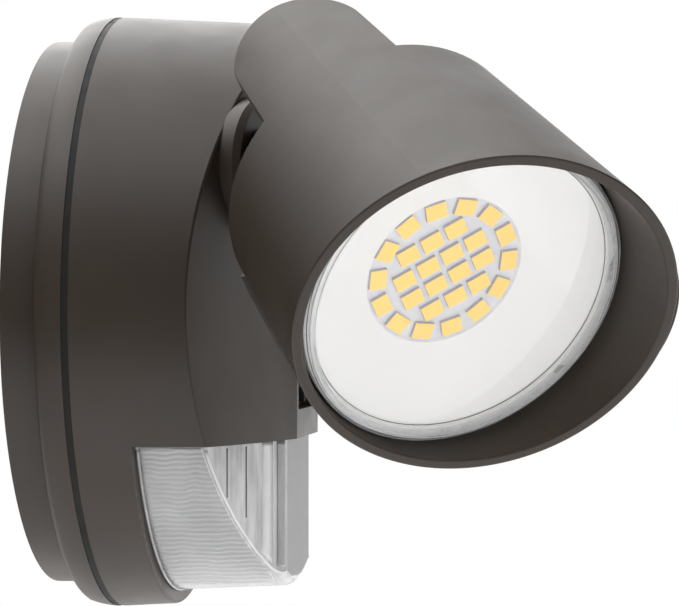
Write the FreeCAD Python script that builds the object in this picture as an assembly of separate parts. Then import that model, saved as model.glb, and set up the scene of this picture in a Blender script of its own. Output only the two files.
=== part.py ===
import FreeCAD, Part
import math
import os

# Twin-head motion sensor wall light.
# Row frame: wall plane is Y = 0, the light stands out along -Y, +Z is up,
# +X is to the right for someone facing the wall. Millimetres throughout.
# "d" below is the distance in front of the wall, so d = -Y.

# ---------------------------------------------------------------- dimensions
D_BASE_RING = 7.44        # depth of the base ring against the wall
R_BASE_RING = 58.1       # radius of the base ring
D_SEAM_REAR = 13.32       # rear face of the seam gasket
D_SEAM_FRONT = 14.74      # front face of the seam gasket
R_REAR_SHOULDER = 62.45   # rear housing radius just in front of its back edge
R_DRUM = 63.2             # rear housing radius at the seam
R_FRONT0 = 63.15          # front housing radius at the seam
DRAFT = 0.0575            # loss of radius per mm of depth, front housing
WALL = 2.4                # front housing wall
NOSE_D = 53.03            # depth of the flat front of the nose
NOSE_HW = 16.47           # half width of that flat
CROWN_CW = -17.20         # centre of the crowned V face in plan, (w, d)
CROWN_CD = -120.43
CROWN_R = 176.70
SHELF_Z = -26.5           # underside of the nose, above the sensor lens
LOWER_WALL_D = 26.1       # front face of the drum below the nose
R_LENS0 = 59.55           # sensor lens radius at LOWER_WALL_D
LENS_DRAFT = 0.05
LENS_INSET = 2.0          # lens faces stand back this much from the nose
LENS_T = 1.8
LENS_ROUND = 2.4
NOTCH_LOW = (53.03, -13.87)    # (d, z) of the sloped centre face, lower end
NOTCH_HIGH = (45.49, 6.99)     # (d, z) of its upper end
NOTCH_STEP = (45.96, 8.00)     # first point of the ceiling of the notch
LEDGE_Z = -20.54               # ledge under the control recess
RECESS_HW = 14.2
RECESS_D = 48.6

BOSS_C = (-38.57, -47.21, 29.34)   # centre of the left boss on the V face
BOSS_AZ = 20.0                     # turn of the boss axis away from -Y
BOSS_R = 13.68
BOSS_H = 4.1
BOSS_BEVEL = 1.3
BOSS_BORE_R = 12.4
STEM_R = 5.6
PIVOT_T = 22.62                    # boss face to tilt axis, along the boss axis
PIVOT_GAP = 3.55                   # head axis stands off the boss axis by this

HEAD_N = (-0.70976, -0.47146, -0.52342)  # rest direction of the lamp axis
SHELL_Z0 = 15.29          # rear edge of the lamp shell, from the tilt axis
SHELL_R0 = 30.68          # shell outer radius there
SHELL_K = 0.0829          # growth of radius per mm
SHELL_T = 2.0
RIM_Z = 63.70             # rim plane on the axis
RIM_SLANT = 0.2095        # tangent of the rim plane's slant
RIM_DIR = -98.0           # deepest side of the hood, degrees from the ear
EAR_R = 13.39             # radius of the ear's round end
EAR_Z = -0.88             # centre of the round end, along the lamp axis
EAR_Y = 0.40
EAR_TAPER = 3.07          # taper of each side of the ear, degrees
LIP_R = 0.8               # rounding of the lip round the sensor lens
CREASE_R = 0.5            # rounding where the drum meets the V faces
GLASS_Z = 55.67
GLASS_R = 31.45
LED_Z = 46.24
LED_R = 15.50
CHIP_L = 4.0              # chip length, across the tilt axis
CHIP_W = 3.25
CHIP_RING_R = 13.18       # radius of the outer ring of chips
CHIP_PITCH_X = 4.70
CHIP_PITCH_Y = 5.00

V = FreeCAD.Vector
os.makedirs("parts", exist_ok=True)
nodes = {}


def add(name, shape):
    nodes[name] = shape


def ring(r0, r1, d0, d1, cx=0.0, cz=0.0):
    """Ring about an axis along Y, from depth d0 to d1."""
    a = Part.makeCylinder(r1, d1 - d0, V(cx, -d0, cz), V(0, -1, 0))
    if r0 <= 0:
        return a
    b = Part.makeCylinder(r0, d1 - d0 + 2, V(cx, -d0 + 1, cz), V(0, -1, 0))
    return a.cut(b)


def lathe_y(pts):
    """Revolve (r, d) points about the Y axis."""
    w = Part.makePolygon([V(r, -d, 0) for r, d in pts] + [V(pts[0][0], -pts[0][1], 0)])
    return Part.Face(w).revolve(V(0, 0, 0), V(0, 1, 0), 360)


def lathe_wire(segs):
    """Revolve a closed profile of lines (two points) and arcs (three points), each (r, d)."""
    es = []
    for g in segs:
        p = [V(r, -d, 0) for r, d in g]
        es.append(Part.makeLine(p[0], p[1]) if len(p) == 2 else Part.Arc(p[0], p[1], p[2]).toShape())
    return Part.Face(Part.Wire(es)).revolve(V(0, 0, 0), V(0, 1, 0), 360)


def lathe_z(pts):
    """Revolve (r, z) points about the Z axis."""
    w = Part.makePolygon([V(r, 0, z) for r, z in pts] + [V(pts[0][0], 0, pts[0][1])])
    return Part.Face(w).revolve(V(0, 0, 0), V(0, 0, 1), 360)


def box(x0, x1, y0, y1, z0, z1):
    return Part.makeBox(x1 - x0, y1 - y0, z1 - z0, V(x0, y0, z0))


def fuse(shapes):
    s = shapes[0]
    if len(shapes) > 1:
        s = s.multiFuse(shapes[1:])
    return s.removeSplitter()


def group(shapes):
    return Part.makeCompound(shapes)


def mirror_x(s):
    return s.mirror(V(0, 0, 0), V(1, 0, 0))


def crown_d(w, off=0.0):
    return CROWN_CD + math.sqrt((CROWN_R - off) ** 2 - (w - CROWN_CW) ** 2)


def nose_prism(off, z0, z1, back=0.0):
    """Plan outline of the V nose, moved inwards by off, as a solid."""
    r = CROWN_R - off
    hw = NOSE_HW
    df = crown_d(hw, off)
    wm, we = 42.0, 72.0
    dm, de = crown_d(wm, off), crown_d(we, off)
    e = [
        Part.Arc(V(-we, -de, 0), V(-wm, -dm, 0), V(-hw, -df, 0)).toShape(),
        Part.makeLine(V(-hw, -df, 0), V(hw, -df, 0)),
        Part.Arc(V(hw, -df, 0), V(wm, -dm, 0), V(we, -de, 0)).toShape(),
        Part.makeLine(V(we, -de, 0), V(we, -back, 0)),
        Part.makeLine(V(we, -back, 0), V(-we, -back, 0)),
        Part.makeLine(V(-we, -back, 0), V(-we, -de, 0)),
    ]
    f = Part.Face(Part.Wire(e))
    f.translate(V(0, 0, z0))
    return f.extrude(V(0, 0, z1 - z0))


def x_prism(pts, x0, x1):
    """Extrude (d, z) points along X."""
    w = Part.makePolygon([V(x0, -d, z) for d, z in pts] + [V(x0, -pts[0][0], pts[0][1])])
    return Part.Face(w).extrude(V(x1 - x0, 0, 0))


# ---------------------------------------------------------------- base plate
plate = fuse([
    ring(0, R_BASE_RING, 0, 4.0),
    ring(55.1, R_BASE_RING, 3.5, D_BASE_RING),
    ring(52.4, 55.1, 3.5, 10.9),
])
plate = plate.cut(ring(49.5, 55.5, -1.0, 2.0))
plate = plate.cut(ring(0, 11.0, -1, 6))
SLOT_X = 44.45
for sx in (-1, 1):
    s = box(SLOT_X - 3.0, SLOT_X + 3.0, -6, 2, -2.3, 2.3)
    s = s.fuse(Part.makeCylinder(2.3, 8, V(SLOT_X - 3.0, 2, 0), V(0, -1, 0)))
    s = s.fuse(Part.makeCylinder(2.3, 8, V(SLOT_X + 3.0, 2, 0), V(0, -1, 0)))
    if sx < 0:
        s = mirror_x(s)
    plate = plate.cut(s)
# Raised ring around the wire hole, and the hook tab at the top.
plate = plate.fuse(ring(11.0, 13.5, 3.5, 6.0))
tab = box(-7.5, 7.5, -10.9, -8.6, 53.5, 57.0)
plate = plate.fuse(tab)
# Reliefs in the spigot for the heads of the housing screws.
for a in (45, 135, 225, 315):
    plate = plate.cut(ring(0, 3.6, 7.2, 12.0, 57.4 * math.cos(math.radians(a)), 57.4 * math.sin(math.radians(a))))
# Threaded hole for the lock screw at the bottom of the spigot.
plate = plate.cut(Part.makeCylinder(1.65, 8, V(0, -9.3, -58), V(0, 0, 1)))
add("back_plate", plate.removeSplitter())

add("wall_gasket", ring(49.8, 55.2, 0.0, 2.0))

# ---------------------------------------------------------------- rear housing
rear = lathe_wire([
    [(55.4, D_BASE_RING), (60.7, D_BASE_RING)],
    [(60.7, D_BASE_RING), (61.72, 7.86), (R_REAR_SHOULDER, 8.9)],
    [(R_REAR_SHOULDER, 8.9), (62.95, 10.9), (R_DRUM, D_SEAM_REAR)],
    [(R_DRUM, D_SEAM_REAR), (9.0, D_SEAM_REAR)],
    [(9.0, D_SEAM_REAR), (9.0, 11.3)],
    [(9.0, 11.3), (55.4, 11.3)],
    [(55.4, 11.3), (55.4, D_BASE_RING)],
])
# Groove for the hook tab and the countersunk hole for the lock screw.
rear = rear.cut(box(-8.0, 8.0, -11.2, -8.3, 54.0, 57.4))
rear = rear.cut(Part.makeCylinder(2.25, 12, V(0, -9.3, -66), V(0, 0, 1)))
rear = rear.cut(Part.makeCone(4.3, 2.2, 2.1, V(0, -9.3, -62.25), V(0, 0, 1)))
rear = rear.cut(Part.makeCylinder(4.3, 4.0, V(0, -9.3, -66.2), V(0, 0, 1)))
SCREW_ANG = (45, 135, 225, 315)
SCREW_R = 57.4
for a in SCREW_ANG:
    cx, cz = SCREW_R * math.cos(math.radians(a)), SCREW_R * math.sin(math.radians(a))
    rear = rear.cut(ring(0, 1.75, 5, 16, cx, cz))
    rear = rear.cut(ring(0, 3.2, 5, 10.0, cx, cz))
# Collar round the wire hole inside the housing, and the inner locating rib.
rear = rear.fuse(ring(9.0, 11.5, D_SEAM_REAR - 0.3, 15.5))
rear = rear.fuse(ring(56.2, 58.2, D_SEAM_REAR - 0.3, 14.3).cut(
    group([ring(0, 4.4, 12, 16, SCREW_R * math.cos(math.radians(a)), SCREW_R * math.sin(math.radians(a))) for a in SCREW_ANG])))
add("rear_housing", rear.removeSplitter())

lock = fuse([
    Part.makeCone(4.0, 1.9, 2.0, V(0, -9.3, -62.15), V(0, 0, 1)),
    Part.makeCylinder(1.5, 9.0, V(0, -9.3, -60.7), V(0, 0, 1)),
])
lock = lock.cut(box(-0.4, 0.4, -11.3, -7.3, -64, -61.1)).cut(box(-2, 2, -9.7, -8.9, -64, -61.1))
add("lock_screw", lock)

hs = []
for a in SCREW_ANG:
    cx, cz = SCREW_R * math.cos(math.radians(a)), SCREW_R * math.sin(math.radians(a))
    s = ring(0, 2.8, 7.9, 10.0, cx, cz).fuse(ring(0, 1.45, 9.8, 23.5, cx, cz))
    s = s.cut(box(cx - 2, cx + 2, -8.7, -7.5, cz - 0.4, cz + 0.4))
    s = s.cut(box(cx - 0.4, cx + 0.4, -8.7, -7.5, cz - 2, cz + 2))
    hs.append(s)
add("housing_screws", group(hs))

gasket = ring(59.4, 63.05, D_SEAM_REAR, D_SEAM_FRONT)
add("seam_gasket", gasket)

# ---------------------------------------------------------------- front housing
def drum_cone(off, d0, d1):
    ra = R_FRONT0 - off - DRAFT * (d0 - D_SEAM_FRONT)
    rb = R_FRONT0 - off - DRAFT * (d1 - D_SEAM_FRONT)
    return Part.makeCone(ra, rb, d1 - d0, V(0, -d0, 0), V(0, -1, 0))


def notch(off):
    """Notch between the two V faces, grown by off on every side."""
    dl, zl = NOTCH_LOW
    dh, zh = NOTCH_HIGH
    L = math.hypot(dl - dh, zl - zh)
    ux, uz = (dh - dl) / L, (zh - zl) / L
    nx, nz = uz, -ux                      # towards the front
    if nx < 0:
        nx, nz = -nx, -nz
    # walk the sloped line backwards by off
    lo = (dl - nx * off - ux * 12, zl - nz * off - uz * 12)
    hi = (dh - nx * off, zh - nz * off + off * 0.9)
    st = (NOTCH_STEP[0] - off * 0.55, NOTCH_STEP[1] + off * 1.1)
    ce = (60.0, 17.5 + off * 1.1)
    return x_prism([lo, hi, st, ce, (70.0, 17.5 + off * 1.1), (70.0, lo[1])], -80, 80)


outer = drum_cone(0, D_SEAM_FRONT, 62).common(nose_prism(0, -70, 70))
nose = []
for e in outer.Edges:
    p = e.valueAt((e.FirstParameter + e.LastParameter) / 2.0)
    if abs(abs(p.x) - NOSE_HW) < 0.01 and abs(-p.y - crown_d(NOSE_HW)) < 0.01 and abs(e.BoundBox.ZLength) > 10:
        nose.append(e)
print("nose edges", len(nose))
outer = outer.makeFillet(0.9, nose)
crease = []
for e in outer.Edges:
    p = e.valueAt((e.FirstParameter + e.LastParameter) / 2.0)
    r = math.hypot(p.x, p.z)
    if -p.y > D_SEAM_FRONT + 4 and abs(r - (R_FRONT0 - DRAFT * (-p.y - D_SEAM_FRONT))) < 0.05 and abs(p.x) > NOSE_HW + 1:
        crease.append(e)
print("crease edges", len(crease))
outer = outer.makeFillet(CREASE_R, crease)
outer = outer.cut(box(-80, 80, -90, -LOWER_WALL_D, -80, SHELF_Z))
lip = []
for e in outer.Edges:
    p = e.valueAt((e.FirstParameter + e.LastParameter) / 2.0)
    if abs(-p.y - LOWER_WALL_D) < 0.01 and math.hypot(p.x, p.z) > R_LENS0 + 1 and p.z < SHELF_Z - 5:
        lip.append(e)
print("lip edges", len(lip))
outer = outer.makeFillet(LIP_R, lip)
keep_low = box(-80, 80, -90, 10, -80, LEDGE_Z)
outer = outer.cut(notch(0).cut(keep_low))
# Pocket behind the front flat for the controls.
pocket = box(-RECESS_HW, RECESS_HW, -60, -RECESS_D, LEDGE_Z, -6.0)
outer = outer.cut(pocket)

inner = drum_cone(WALL, D_SEAM_FRONT - 1, 62).common(nose_prism(WALL, -70, 70, -2.0))
inner = inner.cut(box(-80, 80, -90, -(LOWER_WALL_D - WALL), -80, SHELF_Z + WALL))
inner = inner.cut(notch(WALL).cut(box(-80, 80, -90, 10, -80, LEDGE_Z - WALL)))
inner = inner.cut(box(-RECESS_HW - WALL, RECESS_HW + WALL, -60, -(RECESS_D - WALL), LEDGE_Z - WALL, -2.0))
front = outer.cut(inner)
# Screw posts along the drum wall.
for a in SCREW_ANG:
    cx, cz = SCREW_R * math.cos(math.radians(a)), SCREW_R * math.sin(math.radians(a))
    post = ring(0, 4.0, D_SEAM_FRONT, 24.2, cx, cz).common(drum_cone(0.8, D_SEAM_FRONT, 26))
    front = front.fuse(post)
    front = front.cut(ring(0, 1.6, 13, 23.8, cx, cz))
# Window for the sensor in the lower wall, behind the lens.
window = ring(0, 55.5, LOWER_WALL_D - WALL - 1, LOWER_WALL_D + 1).common(box(-60, 60, -40, 0, -60, SHELF_Z - 3.5))
front = front.cut(window)
# Holes for the swivel collars.
bdir = V(-math.sin(math.radians(BOSS_AZ)), -math.cos(math.radians(BOSS_AZ)), 0)
bc = V(*BOSS_C)
hole = Part.makeCylinder(9.4, 20, bc - bdir * 12, bdir)
front = front.cut(hole).cut(mirror_x(hole))
# Flat seats for the collars inside and outside the crowned wall.
seat = Part.makeCylinder(BOSS_R + 0.02, 6, bc - bdir * 0.9, bdir)
front = front.cut(seat).cut(mirror_x(seat))
pad = Part.makeCylinder(13.0, 3.0, bc - bdir * 3.9, bdir).cut(Part.makeCylinder(9.4, 8, bc - bdir * 6, bdir))
front = front.fuse(pad).fuse(mirror_x(pad))
add("front_housing", front.removeSplitter())

# ---------------------------------------------------------------- sensor lens
def lens_body(off, z_top, d_back, rad):
    """Drum part of the lens with a rounded front edge, cut to the V nose."""
    fd = crown_d(NOSE_HW, LENS_INSET + off)
    ra = R_LENS0 - off
    rb = ra - LENS_DRAFT * (fd - d_back)
    c = Part.makeCone(ra, rb, fd - d_back, V(0, -d_back, 0), V(0, -1, 0))
    rim = [e for e in c.Edges if abs(e.BoundBox.YMin + fd) < 0.01 and abs(e.BoundBox.YMax + fd) < 0.01]
    c = c.makeFillet(rad, rim)
    s = c.common(nose_prism(LENS_INSET + off, -70, 70))
    return s.cut(box(-80, 80, -90, 10, z_top, 80))


lo = lens_body(0, SHELF_Z, LOWER_WALL_D, LENS_ROUND)
li = lens_body(LENS_T, SHELF_Z + 5, LOWER_WALL_D - 3, LENS_ROUND - LENS_T)
lens = lo.cut(li)
add("sensor_lens", lens.removeSplitter())

# ---------------------------------------------------------------- sensor parts
hold = Part.makePolygon([V(-24, -24.4, 0), V(24, -24.4, 0), V(24, -28.0, 0), V(11.0, -40.0, 0),
                         V(-11.0, -40.0, 0), V(-24, -28.0, 0), V(-24, -24.4, 0)])
hold = Part.Face(hold).extrude(V(0, 0, 15))
hold.translate(V(0, 0, -47.5))
face_ang = math.degrees(math.atan2(13.0, 12.0))
cans, cuts = [], []
for sgn in (-1, 0, 1):
    if sgn == 0:
        p, n = V(0, -40.0, -40), V(0, -1, 0)
    else:
        p = V(sgn * 17.5, -34.0, -40)
        n = V(sgn * 12.0, -13.0, 0)
        n.normalize()
    cuts.append(Part.makeCylinder(4.75, 6, p - n * 2.0, n))
    can = Part.makeCylinder(4.1, 3.2, p - n * 2.0, n)
    can = can.fuse(Part.makeCylinder(4.6, 0.5, p - n * 2.0, n))
    can = can.cut(box(-1.6, 1.6, -50, -49, 0, 1))
    cans.append(can.removeSplitter())
for c in cuts:
    hold = hold.cut(c)
pc = Part.makeCylinder(2.6, 5, V(0, -37.5, -50), V(0, 0, 1))
hold = hold.cut(Part.makeCylinder(1.9, 3, V(7.5, -41, -35.3), V(0, 1, 0)))
add("sensor_holder", hold.removeSplitter())
add("pyro_sensors", group(cans))
add("photocell", Part.makeCylinder(1.8, 2.4, V(7.5, -40.6, -35.3), V(0, 1, 0)))
sb = box(-24, 24, -24.4, -22.8, -48.5, -31)
sb = sb.cut(ring(0, 1.3, 20, 27, -21, -33.5)).cut(ring(0, 1.3, 20, 27, 21, -33.5))
add("sensor_board", sb)

# ---------------------------------------------------------------- controls
panel = box(-RECESS_HW + 0.3, RECESS_HW - 0.3, -(RECESS_D + 1.2), -RECESS_D, LEDGE_Z, -14.6)
for cx in (-6.4, 6.4):
    panel = panel.cut(box(cx - 4.2, cx + 4.2, -51, -48.0, -18.55, -16.75))
add("control_panel", panel)


def slider(cx):
    s = box(cx - 1.5, cx + 1.5, -(RECESS_D + 1.4), -RECESS_D - 0.05, -18.4, -16.9)
    k = box(cx - 1.5, cx + 1.5, -(RECESS_D + 3.0), -(RECESS_D + 1.3), -19.4, -16.4)
    k = k.cut(box(cx - 0.3, cx + 0.3, -(RECESS_D + 4), -(RECESS_D + 2.5), -20, -15))
    k = k.cut(box(cx - 1.0, cx - 0.6, -(RECESS_D + 4), -(RECESS_D + 2.7), -20, -15))
    k = k.cut(box(cx + 0.6, cx + 1.0, -(RECESS_D + 4), -(RECESS_D + 2.7), -20, -15))
    return s.fuse(k).removeSplitter()


add("timer_slider", slider(-6.4))
add("range_slider", slider(6.4))

# ---------------------------------------------------------------- driver
BOARD_FIX = ((-31, -9), (31, -9), (-31, 31), (31, 31))
drv = box(-36, 36, -18.4, -16.8, -14, 36)
for cx, cz in BOARD_FIX:
    drv = drv.cut(ring(0, 1.8, 15, 20, cx, cz))
add("driver_board", drv)
so = []
for cx, cz in BOARD_FIX:
    so.append(ring(0, 3.0, D_SEAM_REAR, 16.8, cx, cz).fuse(ring(0, 1.6, 16.6, 18.4, cx, cz))
              .fuse(ring(0, 2.8, 18.4, 20.0, cx, cz)).removeSplitter())
add("driver_standoffs", group(so))
bits = [
    box(-18, 4, -33.0, -18.4, 8, 28),
    ring(0, 5.0, 18.4, 34.0, 12, 20), ring(0, 5.0, 18.4, 34.0, 12, 8),
    ring(0, 4.0, 18.4, 31.0, -26, 2),
    box(-8, 8, -26.0, -18.4, -11, -1),
    box(20, 28, -24.0, -18.4, -4, 14),
    box(-33, -22, -27.0, -18.4, 10, 24),
]
add("driver_parts", group(bits))
tb = box(9, 25, -27.5, -18.4, 27, 34)
for i in range(3):
    cx = 11.8 + 5.2 * i
    tb = tb.cut(ring(0, 1.7, 24.5, 28.5, cx, 30.5))
add("terminal_block", tb)

# ---------------------------------------------------------------- swivel, left
zc = V(0, 0, 1)


def along(t):
    return bc + bdir * t


def bcyl(r, t0, t1):
    return Part.makeCylinder(r, t1 - t0, along(t0), bdir)


collar = fuse([bcyl(BOSS_R, -0.9, BOSS_H - BOSS_BEVEL), bcyl(9.3, -7.5, -0.8)])
collar = collar.fuse(Part.makeCone(BOSS_R, BOSS_R - 1.0, BOSS_BEVEL, along(BOSS_H - BOSS_BEVEL), bdir))
collar = collar.cut(bcyl(BOSS_BORE_R, 0.9, BOSS_H + 1)).cut(bcyl(6.55, -9, 3))
collar = collar.removeSplitter()
stem = fuse([bcyl(BOSS_BORE_R - 0.35, 0.95, 2.2), bcyl(6.5, -12.5, 1.0), bcyl(STEM_R + 1.6, 2.1, 4.6), bcyl(STEM_R, 4.5, PIVOT_T - 8.6)])
nvec = V(*HEAD_N)
nvec.normalize()
hvec = nvec.cross(bdir)
hvec.normalize()
svec = bdir.cross(hvec)
kb = along(PIVOT_T)
kh = kb + hvec * PIVOT_GAP
BL = 3.9      # half thickness of the blade
blade = Part.makeCylinder(7.6, 2 * BL, kh - hvec * BL, hvec)
arm = Part.Face(Part.makePolygon([
    kh - hvec * BL - svec * 7.0, kh - hvec * BL + svec * 7.0,
    kh - hvec * BL + svec * 5.6 - bdir * (PIVOT_T - 9.0), kh - hvec * BL - svec * 5.6 - bdir * (PIVOT_T - 9.0),
    kh - hvec * BL - svec * 7.0])).extrude(hvec * (2 * BL))
foot = Part.makeCylinder(STEM_R + 1.6, 5.0, along(4.5), bdir)
stem = stem.multiFuse([blade, arm, foot])
stem = stem.cut(Part.makeCylinder(2.68, 40, kh - hvec * 20, hvec))
stem = stem.cut(bcyl(3.2, -14, PIVOT_T - 11.5))
# Side port that lets the lamp wires out of the post.
stem = stem.cut(Part.makeCylinder(2.1, 12, along(PIVOT_T - 11.4), -hvec))
stem = stem.removeSplitter()
nut = Part.Face(Part.makePolygon([
    along(-11.8) + (svec * math.cos(math.radians(60 * i)) + hvec * math.sin(math.radians(60 * i))) * 10.4 for i in range(7)])).extrude(bdir * 3.4)
nut = nut.cut(bcyl(6.5, -13, -6)).removeSplitter()
washer = bcyl(9.6, -8.4, -7.55).cut(bcyl(6.5, -9, -6))

add("swivel_collar_left", collar)
add("swivel_stem_left", stem)
add("swivel_nut_left", nut)
add("swivel_washer_left", washer)

# ---------------------------------------------------------------- head, local frame
# Local frame: origin on the tilt axis, +Z out of the lamp, +X along the tilt
# axis towards the ear of the shell.


def r_out(z):
    return SHELL_R0 + SHELL_K * (z - SHELL_Z0)


def cone(z0, z1, off):
    return Part.makeCone(r_out(z0) - off, r_out(z1) - off, z1 - z0, V(0, 0, z0), V(0, 0, 1))


rd = math.radians(RIM_DIR)
rim_cut = box(-80, 80, -80, 80, 0, 60)
ang = math.degrees(math.atan(RIM_SLANT))
# The rim plane rises towards RIM_DIR.
rim_cut.rotate(V(0, 0, 0), V(math.sin(rd), -math.cos(rd), 0), ang)
rim_cut.translate(V(0, 0, RIM_Z))
full = cone(-20, 78, 0).cut(cone(-21, 79, SHELL_T))
barrel_zone = box(-80, 80, -80, 80, SHELL_Z0, 90)
tp = math.radians(EAR_TAPER)
ec, es = EAR_R * math.cos(tp), EAR_R * math.sin(tp)
ez = 30.0
ew = ec + (ez - EAR_Z + es) * math.tan(tp)
ear_arc = Part.Arc(V(0, EAR_Y - ec, EAR_Z - es), V(0, EAR_Y, EAR_Z - EAR_R), V(0, EAR_Y + ec, EAR_Z - es)).toShape()
ear_face = Part.Face(Part.Wire([
    ear_arc,
    Part.makeLine(V(0, EAR_Y + ec, EAR_Z - es), V(0, EAR_Y + ew, ez)),
    Part.makeLine(V(0, EAR_Y + ew, ez), V(0, EAR_Y - ew, ez)),
    Part.makeLine(V(0, EAR_Y - ew, ez), V(0, EAR_Y - ec, EAR_Z - es)),
]))
ear_zone = ear_face.extrude(V(80, 0, 0))
shell = full.common(barrel_zone.fuse(ear_zone)).cut(rim_cut)
# Inner flange that the lamp body bolts to.
fl = cone(38.0, 40.0, SHELL_T - 0.6).cut(Part.makeCylinder(25.5, 10, V(0, 0, 35), V(0, 0, 1)))
shell = shell.fuse(fl)
MS_ANG = (30, 150, 270)
MS_R = 27.2
for a in MS_ANG:
    shell = shell.cut(Part.makeCylinder(1.35, 6, V(MS_R * math.cos(math.radians(a)), MS_R * math.sin(math.radians(a)), 36.5), V(0, 0, 1)))
shell = shell.removeSplitter()
rim = []
for e in shell.Edges:
    ok = True
    for k in range(5):
        p = e.valueAt(e.FirstParameter + (e.LastParameter - e.FirstParameter) * (k + 0.5) / 5.0)
        rho = p.x * math.cos(rd) + p.y * math.sin(rd)
        if abs(p.z - (RIM_Z + RIM_SLANT * rho)) > 0.02:
            ok = False
    if ok:
        rim.append(e)
print("rim edges", len(rim))
shell = shell.makeFillet(0.4, rim)
back = []
for e in shell.Edges:
    ok = True
    for k in range(5):
        p = e.valueAt(e.FirstParameter + (e.LastParameter - e.FirstParameter) * (k + 0.5) / 5.0)
        if p.z > SHELL_Z0 + 0.01 or abs(math.hypot(p.x, p.y) - r_out(p.z)) > 0.02:
            ok = False
    if ok:
        back.append(e)
print("rear edges", len(back))
try:
    f = shell.makeFillet(0.35, back)
    if f.isValid() and len(f.Solids) == 1:
        shell = f
        print("rear fillet done")
except Exception as ex:
    print("rear fillet skipped", ex)

LF = 40.0       # lamp body floor, rear face
body = fuse([
    Part.makeCylinder(30.1, 4.4, V(0, 0, LF), V(0, 0, 1)),
    cone(LF + 4.0, 54.0, SHELL_T + 0.4).cut(cone(LF + 3.9, 54.1, SHELL_T + 1.6)),
    Part.makeCone(23.6, 24.8, 3.2, V(0, 0, LF - 3.0), V(0, 0, 1)),
    Part.makeCone(13.0, 19.0, 14.0, V(0, 0, LF - 14.0), V(0, 0, 1)),
])
EG = 0.25       # side gap between the blade and each cheek
CT = 3.6        # cheek thickness
for sgn in (-1, 1):
    x0 = sgn * (BL + EG)
    ch = Part.makeCylinder(7.0, CT, V(x0, 0, 0), V(sgn, 0, 0))
    ch = ch.fuse(box(min(x0, x0 + sgn * CT), max(x0, x0 + sgn * CT), -7.0, 7.0, 0, LF - 13.0))
    body = body.fuse(ch)
body = body.cut(Part.makeCylinder(2.6, 40, V(-20, 0, 0), V(1, 0, 0)))
body = body.cut(Part.makeCylinder(3.0, 30, V(0, 0, 20), V(0, 0, 1)))
for a in MS_ANG:
    body = body.cut(Part.makeCylinder(1.3, 4.0, V(MS_R * math.cos(math.radians(a)), MS_R * math.sin(math.radians(a)), LF - 0.5), V(0, 0, 1)))
body = body.removeSplitter()

XO = BL + EG + CT
pscrew = fuse([
    Part.makeCylinder(2.6, 2 * XO + 4.4, V(-XO - 4.2, 0, 0), V(1, 0, 0)),
    Part.makeCylinder(4.6, 3.0, V(XO, 0, 0), V(1, 0, 0)),
])
hexw = Part.Face(Part.makePolygon([V(XO + 1.2, 2.1 * math.cos(math.radians(60 * i)), 2.1 * math.sin(math.radians(60 * i))) for i in range(7)])).extrude(V(4, 0, 0))
pscrew = pscrew.cut(hexw).removeSplitter()
pnut = Part.Face(Part.makePolygon([V(-XO, 4.6 * math.cos(math.radians(60 * i)), 4.6 * math.sin(math.radians(60 * i))) for i in range(7)])).extrude(V(-3.6, 0, 0))
pnut = pnut.cut(Part.makeCylinder(2.6, 10, V(-XO - 6, 0, 0), V(1, 0, 0)))

mscrews = []
for a in MS_ANG:
    px, py = MS_R * math.cos(math.radians(a)), MS_R * math.sin(math.radians(a))
    s = Part.makeCylinder(1.2, 6.0, V(px, py, 37.0), V(0, 0, 1)).fuse(Part.makeCylinder(1.65, 1.5, V(px, py, 36.45), V(0, 0, 1)))
    s = s.cut(box(px - 1.2, px + 1.2, py - 0.3, py + 0.3, 36, 37.0))
    mscrews.append(s.removeSplitter())
mscrews = group(mscrews)

BZ = LF + 4.4
board_top = LED_Z - 0.7
board = Part.makeCylinder(18.6, board_top - BZ, V(0, 0, BZ), V(0, 0, 1))

chips = []


def chip(x, y, rot):
    c = box(-CHIP_L / 2, CHIP_L / 2, -CHIP_W / 2, CHIP_W / 2, 0, 0.8)
    c.rotate(V(0, 0, 0), V(0, 0, 1), rot)
    c.translate(V(x, y, board_top))
    return c


for k in range(14):
    a = 90.0 + 360.0 / 14 * k
    chips.append(chip(CHIP_RING_R * math.cos(math.radians(a)), CHIP_RING_R * math.sin(math.radians(a)), a + 90))
for col, cnt in ((-1.5, 3), (-0.5, 4), (0.5, 4), (1.5, 3)):
    for c in range(cnt):
        chips.append(chip(col * CHIP_PITCH_X, (c - (cnt - 1) / 2.0) * CHIP_PITCH_Y, 90))
leds = group(chips)

refl = lathe_z([(LED_R, LED_Z + 0.25), (29.3, 53.6), (29.8, 54.0), (30.0, 54.0), (30.0, 53.3), (29.3, 52.6), (16.4, board_top), (LED_R, board_top)])
seal = lathe_z([(29.3, 54.0), (31.2, 54.0), (31.2, 54.6), (29.3, 54.6)])
glass = lathe_z([
    (0, 54.6), (GLASS_R, 54.6), (GLASS_R, GLASS_Z - 0.2), (GLASS_R - 0.2, GLASS_Z), (30.5, GLASS_Z),
    (30.4, GLASS_Z + 0.5), (29.7, GLASS_Z + 0.5), (29.6, GLASS_Z + 0.9), (0, GLASS_Z + 0.9),
])

yvec = nvec.cross(hvec)
M = FreeCAD.Matrix(
    hvec.x, yvec.x, nvec.x, kh.x,
    hvec.y, yvec.y, nvec.y, kh.y,
    hvec.z, yvec.z, nvec.z, kh.z,
    0, 0, 0, 1)


def place(s):
    s = s.copy()
    s.Placement = FreeCAD.Placement(M).multiply(s.Placement)
    return s


head = {
    "head_shell_left": shell,
    "lamp_body_left": body,
    "tilt_screw_left": pscrew,
    "tilt_nut_left": pnut,
    "module_screws_left": mscrews,
    "led_board_left": board,
    "led_chips_left": leds,
    "reflector_left": refl,
    "glass_seal_left": seal,
    "lamp_glass_left": glass,
}
for k in head:
    add(k, place(head[k]))

# ---------------------------------------------------------------- right-hand set
for k in [k for k in nodes if k.endswith("_left")]:
    add(k.replace("_left", "_right"), mirror_x(nodes[k]))

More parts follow.
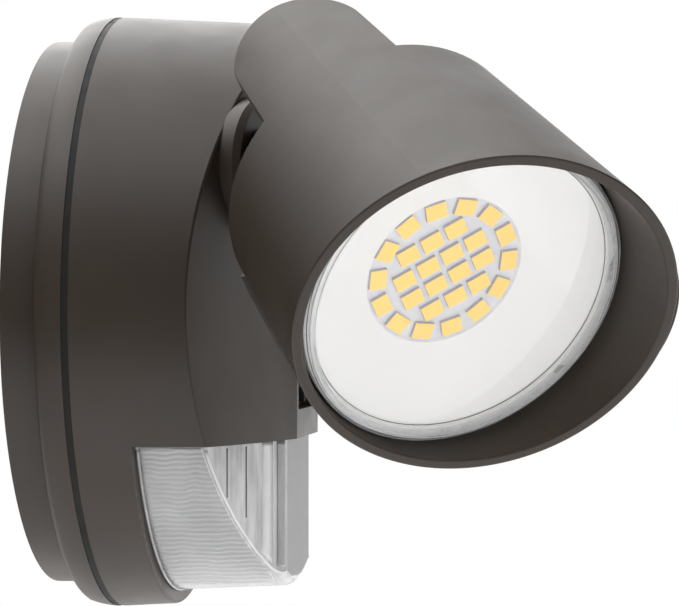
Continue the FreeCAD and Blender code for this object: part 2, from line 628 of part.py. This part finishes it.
for k in sorted(nodes):
    s = nodes[k]
    s.exportStep("parts/" + k + ".step")
    bb = s.BoundBox
    print(k, s.ShapeType, len(s.Solids), s.isValid(), "vol %.1f" % s.Volume,
          "x %.1f..%.1f y %.1f..%.1f z %.1f..%.1f" % (bb.XMin, bb.XMax, bb.YMin, bb.YMax, bb.ZMin, bb.ZMax))
print("nodes", len(nodes))
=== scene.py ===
import math

import bmesh
import bpy
from mathutils import Matrix, Vector


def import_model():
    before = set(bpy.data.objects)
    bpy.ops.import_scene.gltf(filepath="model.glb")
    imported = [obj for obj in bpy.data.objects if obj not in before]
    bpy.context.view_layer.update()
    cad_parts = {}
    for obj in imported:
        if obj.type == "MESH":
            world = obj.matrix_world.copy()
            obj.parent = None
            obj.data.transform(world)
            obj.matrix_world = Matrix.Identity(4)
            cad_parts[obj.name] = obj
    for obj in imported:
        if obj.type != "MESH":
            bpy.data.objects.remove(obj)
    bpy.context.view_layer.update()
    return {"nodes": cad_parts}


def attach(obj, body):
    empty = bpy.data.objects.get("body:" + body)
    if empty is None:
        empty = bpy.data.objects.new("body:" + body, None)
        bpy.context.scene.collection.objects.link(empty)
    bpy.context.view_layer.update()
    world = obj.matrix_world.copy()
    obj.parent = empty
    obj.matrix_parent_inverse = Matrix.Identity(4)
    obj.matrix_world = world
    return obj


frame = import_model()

nodes = frame["nodes"]
SIDES = ("left", "right")

# ------------------------------------------------------------------ geometry
# The same lines as the solids, in metres. d is the distance in front of the
# wall, so d = -Y.
MM = 0.001
AZ = math.radians(20)
B = Vector((-math.sin(AZ), -math.cos(AZ), 0))
BC = Vector((-38.57, -47.21, 29.34)) * MM
N = Vector((-0.70976, -0.47146, -0.52342)).normalized()
H = N.cross(B).normalized()
YV = N.cross(H)
KH = BC + B * 22.62 * MM + H * 3.55 * MM


def mir(v, side):
    return Vector((-v.x, v.y, v.z)) if side == "right" else Vector(v)


def head_point(x, y, z, side="left"):
    """A point in the lamp's own frame (mm), put in the row frame."""
    return mir(KH + (H * x + YV * y + N * z) * MM, side)


CROWN_CW, CROWN_CD, CROWN_R = -17.20, -120.43, 176.70
NOSE_HW = 16.47
LENS_INSET = 2.0
R_LENS0, LENS_DRAFT, LOWER_WALL_D, SHELF_Z = 59.55, 0.05, 26.1, -26.5
LENS_ROUND = 2.4


def crown_d(w, off=0.0):
    return CROWN_CD + math.sqrt((CROWN_R - off) ** 2 - (w - CROWN_CW) ** 2)


# ------------------------------------------------------------------ node help
class Tree:
    """Small helper that builds a material's node tree."""

    def __init__(self, name):
        self.m = bpy.data.materials.new(name)
        self.m.use_nodes = True
        self.t = self.m.node_tree
        self.t.nodes.clear()
        self.out = self.t.nodes.new("ShaderNodeOutputMaterial")
        self.p = self.t.nodes.new("ShaderNodeBsdfPrincipled")
        self.link(self.p.outputs[0], self.out.inputs["Surface"])
        self.tc = self.t.nodes.new("ShaderNodeTexCoord")

    def link(self, a, b):
        self.t.links.new(a, b)

    def node(self, kind, **kw):
        n = self.t.nodes.new(kind)
        for k, v in kw.items():
            setattr(n, k, v)
        return n

    def put(self, socket, value):
        if hasattr(value, "is_output") or isinstance(value, bpy.types.NodeSocket):
            self.link(value, socket)
        else:
            socket.default_value = value

    def math(self, op, a, b=0.0, c=None, clamp=False):
        n = self.node("ShaderNodeMath", operation=op, use_clamp=clamp)
        self.put(n.inputs[0], a)
        self.put(n.inputs[1], b)
        if c is not None:
            self.put(n.inputs[2], c)
        return n.outputs[0]

    def vec(self, op, a, b=(0, 0, 0)):
        n = self.node("ShaderNodeVectorMath", operation=op)
        self.put(n.inputs[0], a)
        self.put(n.inputs[1], b)
        return n.outputs["Value"] if op in ("DOT_PRODUCT", "LENGTH", "DISTANCE") else n.outputs["Vector"]

    def noise(self, scale, detail=3.0, rough=0.5, vec=None, dist=0.0):
        n = self.node("ShaderNodeTexNoise")
        self.link(vec if vec is not None else self.tc.outputs["Object"], n.inputs["Vector"])
        n.inputs["Scale"].default_value = scale
        n.inputs["Detail"].default_value = detail
        n.inputs["Roughness"].default_value = rough
        n.inputs["Distortion"].default_value = dist
        return n.outputs[0]

    def ramp(self, fac, stops, interp="LINEAR"):
        n = self.node("ShaderNodeValToRGB")
        n.color_ramp.interpolation = interp
        e = n.color_ramp.elements
        while len(e) > 1:
            e.remove(e[-1])
        e[0].position = stops[0][0]
        e[0].color = tuple(stops[0][1]) + (1,)
        for pos, col in stops[1:]:
            x = e.new(pos)
            x.color = tuple(col) + (1,)
        self.put(n.inputs[0], fac)
        return n.outputs[0]

    def mix(self, fac, a, b):
        n = self.node("ShaderNodeMix", data_type="RGBA")
        self.put(n.inputs[0], fac)
        for s, v in ((n.inputs[6], a), (n.inputs[7], b)):
            if isinstance(v, tuple):
                s.default_value = v + (1,) if len(v) == 3 else v
            else:
                self.link(v, s)
        return n.outputs[2]

    def maprange(self, v, a, b, c, d, smooth=False):
        n = self.node("ShaderNodeMapRange")
        if smooth:
            n.interpolation_type = "SMOOTHSTEP"
        self.put(n.inputs[0], v)
        for i, x in enumerate((a, b, c, d)):
            n.inputs[i + 1].default_value = x
        return n.outputs[0]

    def bump(self, height, strength, distance, normal=None):
        n = self.node("ShaderNodeBump")
        n.inputs["Strength"].default_value = strength
        n.inputs["Distance"].default_value = distance
        self.put(n.inputs["Height"], height)
        if normal is not None:
            self.link(normal, n.inputs["Normal"])
        return n.outputs[0]

    def set(self, **kw):
        for k, v in kw.items():
            s = self.p.inputs[k.replace("_", " ")]
            if isinstance(v, tuple) and len(v) == 3 and s.type == "RGBA":
                v = v + (1,)
            self.put(s, v)


def scaled(c, k):
    return tuple(min(1.0, x * k) for x in c)


# ------------------------------------------------------------------ materials
def paint(name, base, rough=0.42, grain=2600.0, bump=0.06, spec=0.5):
    """Powder coat: fine orange peel, slight cloudiness, a little wear."""
    t = Tree(name)
    cloud = t.noise(28.0, 3.0, 0.55)
    fine = t.noise(grain, 2.0, 0.6)
    col = t.ramp(cloud, [(0.30, scaled(base, 0.90)), (0.70, scaled(base, 1.10))])
    col = t.mix(t.maprange(fine, 0.35, 0.75, 0.0, 0.18), col, scaled(base, 1.5))
    t.set(Base_Color=col, Specular_IOR_Level=spec)
    t.set(Roughness=t.maprange(t.noise(90.0, 3.0), 0.3, 0.7, rough - 0.03, rough + 0.04))
    peel = t.math("ADD", t.math("MULTIPLY", fine, 0.6), t.math("MULTIPLY", t.noise(grain * 0.3, 2.0), 0.4))
    t.set(Normal=t.bump(peel, bump, 0.00008))
    return t.m


def plastic(name, base, rough=0.4, grain=1800.0, bump=0.05, spread=0.10, spec=0.5):
    t = Tree(name)
    col = t.ramp(t.noise(60.0, 4.0), [(0.3, scaled(base, 1 - spread)), (0.7, scaled(base, 1 + spread))])
    t.set(Base_Color=col, Specular_IOR_Level=spec)
    t.set(Roughness=t.maprange(t.noise(240.0, 2.0), 0.3, 0.7, rough - 0.05, rough + 0.06))
    t.set(Normal=t.bump(t.noise(grain, 3.0), bump, 0.0001))
    return t.m


def metal(name, base, rough=0.3, stretch=(1, 1, 1), grain=900.0):
    t = Tree(name)
    mp = t.node("ShaderNodeMapping")
    t.link(t.tc.outputs["Object"], mp.inputs["Vector"])
    mp.inputs["Scale"].default_value = stretch
    n = t.noise(grain, 4.0, 0.6, mp.outputs[0])
    t.set(Base_Color=t.ramp(n, [(0.3, scaled(base, 0.82)), (0.7, scaled(base, 1.12))]), Metallic=1.0)
    t.set(Roughness=t.maprange(n, 0.3, 0.7, rough - 0.08, rough + 0.10))
    t.set(Normal=t.bump(n, 0.12, 0.00006))
    return t.m


BRONZE = (0.036, 0.0252, 0.0176)
m_bronze = paint("bronze_powder_coat", BRONZE)
m_alu = metal("cast_aluminium", (0.40, 0.39, 0.38), 0.5, grain=700.0)
m_steel = metal("screw_steel", (0.50, 0.50, 0.51), 0.3, (1, 8, 1))
m_gasket = plastic("seam_gasket_rubber", (0.010, 0.0095, 0.009), 0.62, 3200.0, 0.2, spec=0.3)
m_foam = plastic("foam_rubber", (0.022, 0.022, 0.022), 0.9, 1500.0, 0.8, 0.3)
m_black = plastic("black_plastic", (0.014, 0.014, 0.015), 0.4)
m_panel = plastic("panel_plastic", (0.03, 0.027, 0.025), 0.5)
m_nylon = plastic("nylon", (0.62, 0.61, 0.56), 0.45)
m_parts = plastic("component_plastic", (0.05, 0.05, 0.06), 0.35, spread=0.3)
m_resin = plastic("photocell_resin", (0.35, 0.14, 0.06), 0.15)
m_seal = plastic("silicone_seal_painted_glow", (0.86, 0.86, 0.86), 0.35, spread=0.04)
# Painted glow: the seal emits a little white light, though it is no lamp, to lift it out of its shade.
m_seal.node_tree.nodes["Principled BSDF"].inputs["Emission Color"].default_value = (1, 1, 1, 1)
m_seal.node_tree.nodes["Principled BSDF"].inputs["Emission Strength"].default_value = 0.12
# Lines round the lamp glasses: the grey one is painted shade in the gaps, the pale one a painted highlight on
# the step edges.
m_ring_painted_shade = plastic("rim_line_painted_shade", (0.16, 0.16, 0.16), 0.4)
m_ring_painted_highlight = plastic("rim_line_painted_highlight", (0.62, 0.62, 0.63), 0.3)


def board(name, base, trace):
    t = Tree(name)
    v = t.node("ShaderNodeTexVoronoi", feature="DISTANCE_TO_EDGE", distance="CHEBYCHEV") if False else t.node("ShaderNodeTexVoronoi")
    v.distance = "CHEBYCHEV"
    t.link(t.tc.outputs["Object"], v.inputs["Vector"])
    v.inputs["Scale"].default_value = 260.0
    mask = t.maprange(v.outputs["Distance"], 0.42, 0.46, 0.0, 1.0)
    col = t.mix(mask, base, trace)
    col = t.mix(t.maprange(t.noise(70.0), 0.3, 0.7, 0.0, 0.25), col, scaled(base, 0.7))
    t.set(Base_Color=col, Roughness=t.maprange(t.noise(300.0), 0.3, 0.7, 0.25, 0.4))
    t.set(Normal=t.bump(mask, 0.3, 0.0001))
    return t.m


m_board = board("circuit_board", (0.015, 0.12, 0.05), (0.03, 0.20, 0.08))


def reflector_mat():
    t = Tree("reflector_white")
    n = t.noise(18.0, 2.0)
    t.set(Base_Color=t.ramp(n, [(0.3, (0.86, 0.86, 0.865)), (0.7, (0.92, 0.92, 0.92))]))
    t.set(Roughness=t.maprange(t.noise(120.0), 0.3, 0.7, 0.28, 0.38))
    t.set(Normal=t.bump(t.noise(900.0), 0.04, 0.0001))
    # Painted glow: the white reflector emits a little light, though it is no lamp, to lift it out of its own
    # shade.
    t.p.inputs["Emission Color"].default_value = (1.0, 1.0, 1.0, 1)
    t.p.inputs["Emission Strength"].default_value = 0.20
    return t.m


m_refl = reflector_mat()


def led_board_mat():
    t = Tree("led_board_white_painted_glow")
    n = t.noise(400.0, 2.0)
    t.set(Base_Color=t.ramp(n, [(0.3, (0.80, 0.80, 0.84)), (0.7, (0.88, 0.88, 0.90))]))
    t.set(Roughness=t.maprange(n, 0.3, 0.7, 0.35, 0.5))
    t.set(Normal=t.bump(t.noise(1500.0), 0.05, 0.0001))
    # Painted glow: the white board emits a little light, though it is no lamp, to brighten it.
    t.p.inputs["Emission Color"].default_value = (1.0, 1.0, 1.0, 1)
    t.p.inputs["Emission Strength"].default_value = 0.10
    return t.m


m_ledboard = led_board_mat()


def chip_mat(side):
    """Yellow phosphor on the top of each chip; grey sides, the white package walls painted a darker lilac grey
    as painted shade between the chips.
    """
    t = Tree("led_chip_painted_glow_and_shade_" + side)
    up = mir(N, side)
    d = t.vec("DOT_PRODUCT", t.tc.outputs["Normal"], tuple(up))
    top = t.maprange(d, 0.7, 0.9, 0.0, 1.0)
    grain = t.noise(5200.0, 2.0, 0.6)
    yellow = t.ramp(grain, [(0.35, (0.90, 0.56, 0.13)), (0.65, (1.0, 0.69, 0.20))])
    col = t.mix(top, (0.42, 0.41, 0.45), yellow)
    t.set(Base_Color=col, Roughness=t.maprange(grain, 0.3, 0.7, 0.45, 0.6))
    t.set(Normal=t.bump(grain, 0.15, 0.00005))
    # Painted glow: faint emission in the chip colours, though the lamp is not lit.
    t.set(Emission_Color=t.mix(top, (0.2, 0.2, 0.22), (1.0, 0.66, 0.17)))
    t.p.inputs["Emission Strength"].default_value = 0.38
    return t.m


def glass_mat(side):
    """Clear pane in the middle; the moulded rim is hazier towards the edge."""
    t = Tree("lamp_glass_" + side)
    k = mir(KH, side)
    n = mir(N, side)
    rel = t.vec("SUBTRACT", t.tc.outputs["Object"], tuple(k))
    rad = t.vec("LENGTH", t.vec("CROSS_PRODUCT", rel, tuple(n)))
    rim = t.maprange(rad, 0.0292, 0.0298, 0.0, 1.0)
    rings = t.math("MULTIPLY", t.math("SINE", t.math("MULTIPLY", rad, 9000.0)), 0.5)
    rings = t.math("ADD", rings, 0.5)
    t.set(Base_Color=t.mix(rings, (0.42, 0.44, 0.44), (0.85, 0.87, 0.87)))
    t.set(Roughness=t.maprange(t.noise(300.0), 0.3, 0.7, 0.04, 0.09))
    t.set(Normal=t.bump(t.math("ADD", t.math("MULTIPLY", rings, rim), t.math("MULTIPLY", t.noise(60.0), 0.1)), 0.1, 0.0001))
    t.set(Alpha=t.maprange(rim, 0.0, 1.0, 0.03, 0.28))
    # A faint sheen over the clear pane.
    gl = t.node("ShaderNodeBsdfGlossy")
    gl.inputs["Roughness"].default_value = 0.03
    fr = t.node("ShaderNodeFresnel")
    fr.inputs["IOR"].default_value = 1.35
    mx = t.node("ShaderNodeMixShader")
    t.link(t.math("MULTIPLY", fr.outputs[0], 0.6), mx.inputs[0])
    t.link(t.p.outputs[0], mx.inputs[1])
    t.link(gl.outputs[0], mx.inputs[2])
    t.link(mx.outputs[0], t.out.inputs["Surface"])
    return t.m


def lens_mat(name, side_tone=0.42, front_tone=0.52, low=0.55, high=1.45):
    """Milky lens plastic: glossy, with upright streaks from the optics behind the V part."""
    t = Tree(name)
    mp = t.node("ShaderNodeMapping")
    t.link(t.tc.outputs["Object"], mp.inputs["Vector"])
    mp.inputs["Scale"].default_value = (1.0, 1.0, 0.22)
    streak = t.noise(190.0, 3.0, 0.6, mp.outputs[0])
    patch = t.noise(70.0, 2.0, 0.5)
    front = (front_tone, front_tone, front_tone * 1.01)
    vcol = t.ramp(streak, [(0.32, scaled(front, low)), (0.50, front), (0.68, scaled(front, high))])
    vcol = t.mix(t.maprange(patch, 0.52, 0.66, 0.0, 0.55), vcol, scaled(front, high))
    side = (side_tone, side_tone, side_tone * 1.01)
    scol = t.ramp(patch, [(0.30, scaled(side, 0.86)), (0.70, scaled(side, 1.12))])
    sep = t.node("ShaderNodeSeparateXYZ")
    t.link(t.tc.outputs["Normal"], sep.inputs[0])
    mask = t.maprange(t.math("MULTIPLY", sep.outputs[1], -1.0), 0.35, 0.7, 0.0, 1.0)
    # The plain flat at the very front is duller than the optics beside it.
    flat = t.maprange(t.math("MULTIPLY", sep.outputs[1], -1.0), 0.972, 0.992, 0.0, 1.0)
    col = t.mix(mask, scol, vcol)
    t.set(Base_Color=t.mix(flat, col, (0.46, 0.46, 0.46)), IOR=1.49)
    rough = t.maprange(t.noise(500.0), 0.3, 0.7, 0.13, 0.24)
    t.set(Roughness=t.math("ADD", rough, t.math("MULTIPLY", flat, 0.40)))
    t.set(Specular_IOR_Level=t.maprange(flat, 0.0, 1.0, 0.5, 0.12))
    t.set(Coat_Weight=t.maprange(flat, 0.0, 1.0, 0.3, 0.0))
    t.set(Normal=t.bump(t.noise(420.0, 3.0), 0.10, 0.0002))
    t.p.inputs["Subsurface Weight"].default_value = 0.15
    t.p.inputs["Subsurface Radius"].default_value = (0.003, 0.003, 0.003)
    t.p.inputs["Subsurface Scale"].default_value = 0.4
    t.p.inputs["Coat Roughness"].default_value = 0.08
    return t.m


m_lens = lens_mat("sensor_lens_plastic")
# Lit and shaded copies of the lens plastic: the lighter one is a painted highlight, the darker one painted
# shade.
m_lens_painted_highlight = lens_mat("sensor_lens_painted_highlight_band", 0.7, 0.72, 0.8, 1.2)
m_lens_painted_shade = lens_mat("sensor_lens_painted_shade_band", 0.4, 0.30, 0.7, 1.4)
m_lens_line = plastic("sensor_lens_divider", (0.10, 0.10, 0.105), 0.3)


def use(name, mat):
    o = nodes[name]
    o.data.materials.clear()
    o.data.materials.append(mat)


for k in ("back_plate", "rear_housing", "front_housing"):
    use(k, m_bronze)
use("seam_gasket", m_gasket)
use("wall_gasket", m_foam)
use("lock_screw", m_steel)
use("housing_screws", m_steel)
use("sensor_lens", m_lens)
use("sensor_holder", m_black)
use("pyro_sensors", m_steel)
use("photocell", m_resin)
use("sensor_board", m_board)
use("driver_board", m_board)
use("driver_standoffs", m_nylon)
use("driver_parts", m_parts)
use("terminal_block", m_nylon)
use("control_panel", m_panel)
use("timer_slider", m_black)
use("range_slider", m_black)
for s in SIDES:
    use("head_shell_" + s, m_bronze)
    use("swivel_collar_" + s, m_bronze)
    use("swivel_stem_" + s, m_bronze)
    use("swivel_nut_" + s, m_steel)
    use("swivel_washer_" + s, m_steel)
    use("lamp_body_" + s, m_alu)
    use("tilt_screw_" + s, m_steel)
    use("tilt_nut_" + s, m_steel)
    use("module_screws_" + s, m_steel)
    use("led_board_" + s, m_ledboard)
    use("led_chips_" + s, chip_mat(s))
    use("reflector_" + s, m_refl)
    use("glass_seal_" + s, m_seal)
    use("lamp_glass_" + s, glass_mat(s))


# ------------------------------------------------------------------ lens optics
def piece(name, verts, faces, mat, body):
    me = bpy.data.meshes.new(name)
    me.from_pydata([tuple(v) for v in verts], [], faces)
    bm = bmesh.new()
    bm.from_mesh(me)
    bmesh.ops.recalc_face_normals(bm, faces=bm.faces)
    bm.to_mesh(me)
    bm.free()
    for p in me.polygons:
        p.use_smooth = True
    me.materials.append(mat)
    o = bpy.data.objects.new(name, me)
    bpy.context.scene.collection.objects.link(o)
    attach(o, body)
    return o


def tube(name, pts, r, mat, body, closed=False, seg=8):
    """Round bead swept along a line of points, with closed ends."""
    n = len(pts)
    verts, faces = [], []
    for i, p in enumerate(pts):
        a = pts[(i - 1) % n] if (closed or i > 0) else p
        b = pts[(i + 1) % n] if (closed or i < n - 1) else p
        tan = (b - a).normalized()
        ref = Vector((0, 0, 1)) if abs(tan.z) < 0.9 else Vector((0, 1, 0))
        if closed:
            ref = axis_of(pts)
        u = tan.cross(ref).normalized()
        v = tan.cross(u)
        for k in range(seg):
            g = 2 * math.pi * k / seg
            verts.append(p + (u * math.cos(g) + v * math.sin(g)) * r)
    last = n if closed else n - 1
    for i in range(last):
        j = (i + 1) % n
        for k in range(seg):
            m = (k + 1) % seg
            faces.append((i * seg + k, i * seg + m, j * seg + m, j * seg + k))
    if not closed:
        faces.append(tuple(range(seg))[::-1])
        faces.append(tuple((n - 1) * seg + k for k in range(seg)))
    return piece(name, verts, faces, mat, body)


def axis_of(pts):
    c = sum(pts, Vector((0, 0, 0))) / len(pts)
    q = len(pts) // 4
    return (pts[0] - c).cross(pts[q] - c).normalized()


def shell(name, outer, inner, mat, body):
    """Closed slab between two grids of points with the same rows and columns."""
    nu, nv = len(outer), len(outer[0])
    verts = [p for row in outer for p in row] + [p for row in inner for p in row]
    off = nu * nv
    faces = []
    for i in range(nu - 1):
        for j in range(nv - 1):
            q = (i * nv + j, i * nv + j + 1, (i + 1) * nv + j + 1, (i + 1) * nv + j)
            faces.append(q)
            faces.append(tuple(off + x for x in q[::-1]))
    edge = [(i, 0) for i in range(nu)] + [(nu - 1, j) for j in range(1, nv)] + \
        [(i, nv - 1) for i in range(nu - 2, -1, -1)] + [(0, j) for j in range(nv - 2, 0, -1)]
    for a, b in zip(edge, edge[1:] + edge[:1]):
        ia, ib = a[0] * nv + a[1], b[0] * nv + b[1]
        faces.append((ia, off + ia, off + ib, ib))
    return piece(name, verts, faces, mat, body)


LENS_FRONT = crown_d(NOSE_HW, LENS_INSET)


def lens_r(d):
    """Radius of the lens outside at depth d, with its rounded front edge."""
    r = R_LENS0 - LENS_DRAFT * (d - LOWER_WALL_D)
    over = d - (LENS_FRONT - LENS_ROUND)
    if over > 0:
        r -= LENS_ROUND - math.sqrt(max(LENS_ROUND ** 2 - over ** 2, 0.0))
    return r


def crease_depth(z):
    w = math.sqrt(max(58.5 ** 2 - z * z, 1.0))
    for _ in range(12):
        d = crown_d(max(w, NOSE_HW), LENS_INSET)
        w = math.sqrt(max(lens_r(min(d, LENS_FRONT - 0.3)) ** 2 - z * z, 1.0))
    return d


RIB_TOP, RIB_LOW, RIBS = -26.8, -56.9, 30
for sgn, s in ((-1, "left"), (1, "right")):
    pitch = (RIB_TOP - RIB_LOW) / RIBS
    outer, inner = [], []
    per = 7
    for i in range(RIBS * per + 1):
        z = RIB_TOP - pitch * i / per
        d1 = min(crease_depth(z) - 0.55, LENS_FRONT - LENS_ROUND - 0.1)
        ro, ri = [], []
        for j in range(29):
            d = 26.8 + (d1 - 26.8) * j / 28.0
            bend = 0.17 * math.sin(d * 0.55 + z * 0.21) + 0.12 * math.sin(d * 1.35 - z * 0.43)
            if -46 < z < -32:
                bend += 0.45 * math.exp(-((d - 37.0) / 1.6) ** 2) * math.sin(math.pi * (z + 46) / 14.0)
            f = ((RIB_TOP - z + bend) / pitch) % 1.0
            h = 0.03 + 0.31 * (math.sin(math.pi * f) ** 0.7) * (0.55 + 0.45 * f)
            h *= min(1.0, 0.15 + (d - 26.8) / 0.8, 0.15 + (d1 - d) / 0.8)
            r = lens_r(d)
            x = math.sqrt(r * r - z * z)
            for row, o in ((ro, h), (ri, -0.35)):
                k = (r + o) / r
                row.append(Vector((sgn * x * k, -d, z * k)) * MM)
        outer.append(ro)
        inner.append(ri)
    shell("lens_ribs_" + s, outer, inner, m_lens, "canopy")

    pts = []
    for i in range(60):
        w = 51.9 - (51.9 - 17.2) * i / 59.0
        d = crown_d(w, LENS_INSET)
        r = lens_r(min(d, LENS_FRONT - 0.25)) - 0.15
        pts.append(Vector((sgn * w, -(d - 0.15), -math.sqrt(r * r - w * w))) * MM)
    # The crease bead carries the lighter copy of the lens plastic, a painted highlight along the crease.
    tube("lens_crease_bead_" + s, pts, 0.34 * MM, m_lens_painted_highlight, "canopy")

    for tag, w, z1 in (("a", 44.7, -37.0), ("b", 37.2, -41.5)):
        d = crown_d(w, LENS_INSET)
        tube("lens_divider_%s_%s" % (tag, s), [Vector((sgn * w, -d, -27.2 + (z1 + 27.2) * i / 14.0)) * MM for i in range(15)],
             0.17 * MM, m_lens_line, "canopy")
    # Thin skins on the V face painted lighter and darker: one band of painted highlight, one band of painted
    # shade.
    for tag, wa, wb, mat in (("painted_highlight", 30.2, 24.8, m_lens_painted_highlight), ("painted_shade", 22.6, 17.7, m_lens_painted_shade)):
        outer, inner = [], []
        for i in range(9):
            w = wa + (wb - wa) * i / 8.0
            d = crown_d(w, LENS_INSET)
            low = -math.sqrt(lens_r(min(d, LENS_FRONT - 0.4)) ** 2 - w * w) + 1.0
            soft = math.sin(math.pi * (i + 0.3) / 8.6)
            ro, ri = [], []
            for j in range(25):
                z = -26.7 + (low + 26.7) * j / 24.0
                ro.append(Vector((sgn * w, -(d + 0.04 + 0.16 * soft), z)) * MM)
                ri.append(Vector((sgn * w, -(d - 0.4), z)) * MM)
            outer.append(ro)
            inner.append(ri)
        shell("lens_%s_band_%s" % (tag, s), outer, inner, mat, "canopy")

# Bead where the lens comes out of the lower wall.
g0 = math.asin(27.3 / 59.6)
pts = []
for i in range(97):
    g = math.pi + g0 + (math.pi - 2 * g0) * i / 96.0
    pts.append(Vector((59.55 * math.cos(g), -26.45, 59.55 * math.sin(g))) * MM)
tube("lens_rear_bead", pts, 0.30 * MM, m_lens, "canopy")

# Thin rings at the moulded steps round each lamp glass: the dark gap and seat rings are painted shade, the
# pale step and edge rings are painted highlights.
for s in SIDES:
    for tag, r, z, w, mat in (("gap", 30.98, 55.70, 0.10, m_ring_painted_shade), ("step", 30.45, 56.10, 0.10, m_ring_painted_highlight),
                              ("edge", 29.66, 56.48, 0.10, m_ring_painted_highlight), ("seat", 29.12, 53.75, 0.09, m_ring_painted_shade)):
        pts = [head_point(r * math.cos(2 * math.pi * i / 128), r * math.sin(2 * math.pi * i / 128), z, s) for i in range(128)]
        tube("glass_%s_line_%s" % (tag, s), pts, w * MM, mat, "head_" + s, closed=True)

# ------------------------------------------------------------------ stage
SPREAD = 12.0
LOBES = [
    ((1.0, 0.0, 0.0), 0.88),
    ((-0.7071, -0.7071, 0.0), 1.98),
    ((0.7071, -0.7071, 0.0), 1.08),
    ((0.8001, 0.3314, 0.5), 3.60),
    ((0.3314, 0.8001, 0.5), 0.18),
    ((-0.8001, 0.3314, 0.5), 0.28),
    ((0.5, 0.0, 0.8660), 1.20),
    ((0.25, 0.4330, 0.8660), 2.61),
    ((-0.25, 0.4330, 0.8660), 2.73),
    ((-0.5, 0.0, 0.8660), 1.18),
]
AMBIENT = 0.02
# A smaller, brighter panel at the far side, seen as the glance along the front.
NARROW = [((0.992, -0.123, 0.0), 1.7, 90.0)]


def world():
    """Soft studio surround: broad lobes of light, plain white behind the object."""
    w = bpy.data.worlds.new("studio")
    bpy.context.scene.world = w
    w.use_nodes = True
    t = w.node_tree
    t.nodes.clear()
    out = t.nodes.new("ShaderNodeOutputWorld")
    tc = t.nodes.new("ShaderNodeTexCoord")

    def calc(op, x, y):
        n = t.nodes.new("ShaderNodeMath")
        n.operation = op
        for s, v in zip(n.inputs, (x, y)):
            if isinstance(v, bpy.types.NodeSocket):
                t.links.new(v, s)
            else:
                s.default_value = v
        return n.outputs[0]

    total = None
    for d, weight in LOBES:
        dot = t.nodes.new("ShaderNodeVectorMath")
        dot.operation = "DOT_PRODUCT"
        t.links.new(tc.outputs["Generated"], dot.inputs[0])
        dot.inputs[1].default_value = Vector(d).normalized()
        v = calc("MULTIPLY", calc("POWER", calc("MAXIMUM", dot.outputs["Value"], 0.0), SPREAD), weight)
        total = v if total is None else calc("ADD", total, v)
    for d, weight, power in NARROW:
        dot = t.nodes.new("ShaderNodeVectorMath")
        dot.operation = "DOT_PRODUCT"
        t.links.new(tc.outputs["Generated"], dot.inputs[0])
        dot.inputs[1].default_value = Vector(d).normalized()
        total = calc("ADD", total, calc("MULTIPLY", calc("POWER", calc("MAXIMUM", dot.outputs["Value"], 0.0), power), weight))
    total = calc("ADD", total, AMBIENT)
    soft = t.nodes.new("ShaderNodeBackground")
    soft.inputs[1].default_value = 1.0
    t.links.new(total, soft.inputs[0])
    white = t.nodes.new("ShaderNodeBackground")
    white.inputs[0].default_value = (1, 1, 1, 1)
    white.inputs[1].default_value = 1.0
    lp = t.nodes.new("ShaderNodeLightPath")
    mx = t.nodes.new("ShaderNodeMixShader")
    t.links.new(lp.outputs["Is Camera Ray"], mx.inputs[0])
    t.links.new(soft.outputs[0], mx.inputs[1])
    t.links.new(white.outputs[0], mx.inputs[2])
    t.links.new(mx.outputs[0], out.inputs[0])


world()


def area(name, loc, target, size, power, size_y=None):
    d = bpy.data.lights.new(name, "AREA")
    d.shape = "RECTANGLE"
    d.size = size
    d.size_y = size_y or size
    d.energy = power
    o = bpy.data.objects.new(name, d)
    bpy.context.scene.collection.objects.link(o)
    o.location = loc
    o.visible_camera = False
    o.rotation_euler = (Vector(target) - Vector(loc)).to_track_quat("-Z", "Y").to_euler()
    return o


LOW = [
    ((0.0, -0.08, -0.60), 0.0),
    ((-0.60, -0.10, -0.55), 0.34),
    ((0.0, -0.70, -0.55), 0.70),
    ((0.60, -0.10, -0.55), 0.0),
    ((0.0, 0.50, -0.55), 0.0),
]
for i, (at, watts) in enumerate(LOW):
    area("low_%d" % i, at, (-0.03, -0.07, 0.0), 0.5, watts)

fb = bmesh.new()
bmesh.ops.create_circle(fb, cap_ends=True, radius=2.2, segments=96)
fm = bpy.data.meshes.new("floor")
fb.to_mesh(fm)
fb.free()
floor = bpy.data.objects.new("floor", fm)
floor.location = (0, 0, -0.62)
bpy.context.scene.collection.objects.link(floor)
ft = Tree("floor_pale")
ft.set(Base_Color=ft.ramp(ft.noise(3.0), [(0.3, (0.80, 0.80, 0.80)), (0.7, (0.84, 0.84, 0.84))]))
ft.set(Roughness=ft.maprange(ft.noise(20.0), 0.3, 0.7, 0.75, 0.85))
fm.materials.append(ft.m)

# ------------------------------------------------------------------ camera
PSI, PIT = math.radians(7.0896), math.radians(0.1744)
fwd = Vector((math.cos(PSI) * math.cos(PIT), math.sin(PSI) * math.cos(PIT), math.sin(PIT)))
right = Vector((math.sin(PSI), -math.cos(PSI), 0))
up = right.cross(fwd)
cd = bpy.data.cameras.new("photo_camera")
cd.sensor_fit = "HORIZONTAL"
cd.sensor_width = 36.0
cd.lens = 36.0 * 2768.49 / 679.0
cd.clip_start = 0.01
cd.clip_end = 20.0
cam = bpy.data.objects.new("photo_camera", cd)
bpy.context.scene.collection.objects.link(cam)
rot = Matrix((right, up, -fwd)).transposed()
cam.matrix_world = Matrix.Translation((-0.58785, -0.13301, 0.0)) @ rot.to_4x4()
bpy.context.scene.camera = cam

vs = bpy.context.scene.view_settings
vs.view_transform = "Standard"
vs.look = "None"
vs.exposure = 0.0
vs.gamma = 1.0
